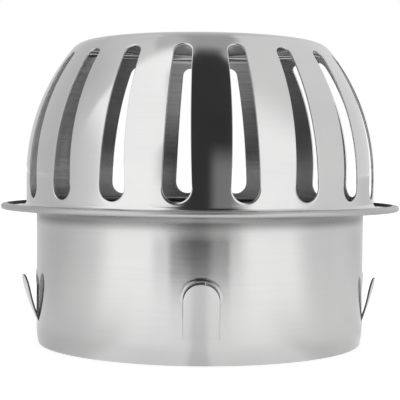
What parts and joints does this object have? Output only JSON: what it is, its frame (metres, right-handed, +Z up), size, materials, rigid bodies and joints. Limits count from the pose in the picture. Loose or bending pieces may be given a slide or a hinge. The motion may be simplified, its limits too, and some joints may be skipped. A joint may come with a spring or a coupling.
{
  "type": "floor drain",
  "caption": "Domed floor drain grate with tapered slots, welded to a flanged sheet-metal collar whose sleeve drops into a drain pipe and grips it with lanced spring tabs.",
  "frame": {"origin": "centre of the collar's lower rim, on the surface that the drain stands on", "axes": "+Z up along the drain's axis, from the sleeve to the crown; -Y towards the picture's camera"},
  "size_m": [0.119, 0.119, 0.0911],
  "materials": {
    "dome_steel": "polished stainless sheet with fine scuffs",
    "collar_steel": "satin stainless sheet"
  },
  "bodies": {
    "root": {"dome_grate": "dome_steel", "pipe_collar": "collar_steel"}
  },
  "joints": []
}
